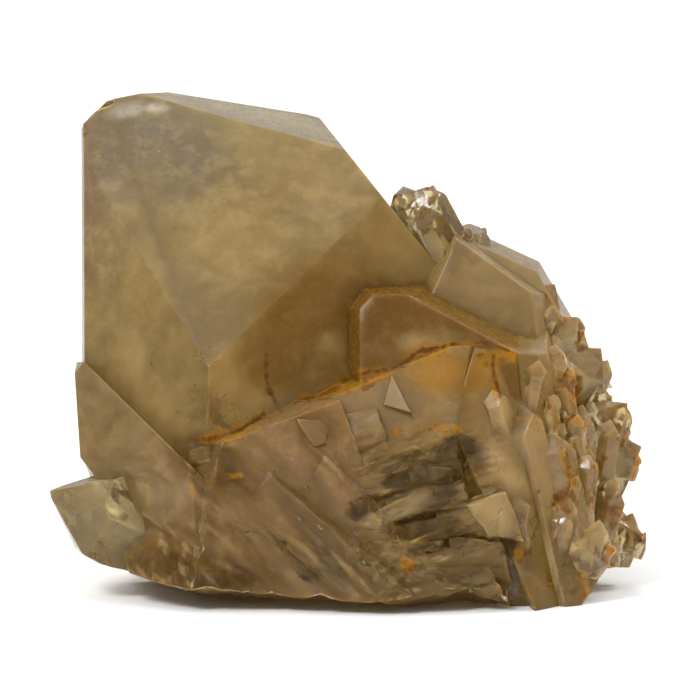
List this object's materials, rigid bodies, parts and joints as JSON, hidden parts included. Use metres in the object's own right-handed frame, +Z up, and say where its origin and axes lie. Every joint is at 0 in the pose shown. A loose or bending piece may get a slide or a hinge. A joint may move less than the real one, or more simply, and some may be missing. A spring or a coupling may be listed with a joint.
{
  "type": "citrine crystal cluster",
  "caption": "Natural citrine cluster: a large pointed quartz crystal leaning over a mass of fused columns and small crystals, on a flat broken base.",
  "frame": {"origin": "centre of the bounding box, at the flat base it rests on", "axes": "+Z up from the flat base; +X across the cluster, towards the fan of small crystals and away from the leaning tip; +Y away from the main crystal's big front face"},
  "size_m": [0.1182, 0.0944, 0.0957],
  "materials": {
    "citrine_cluster": "clear to cloudy honey-brown quartz, glassy faces with frosted and iron-stained patches"
  },
  "bodies": {
    "root": {"citrine_cluster": "citrine_cluster"}
  },
  "joints": []
}
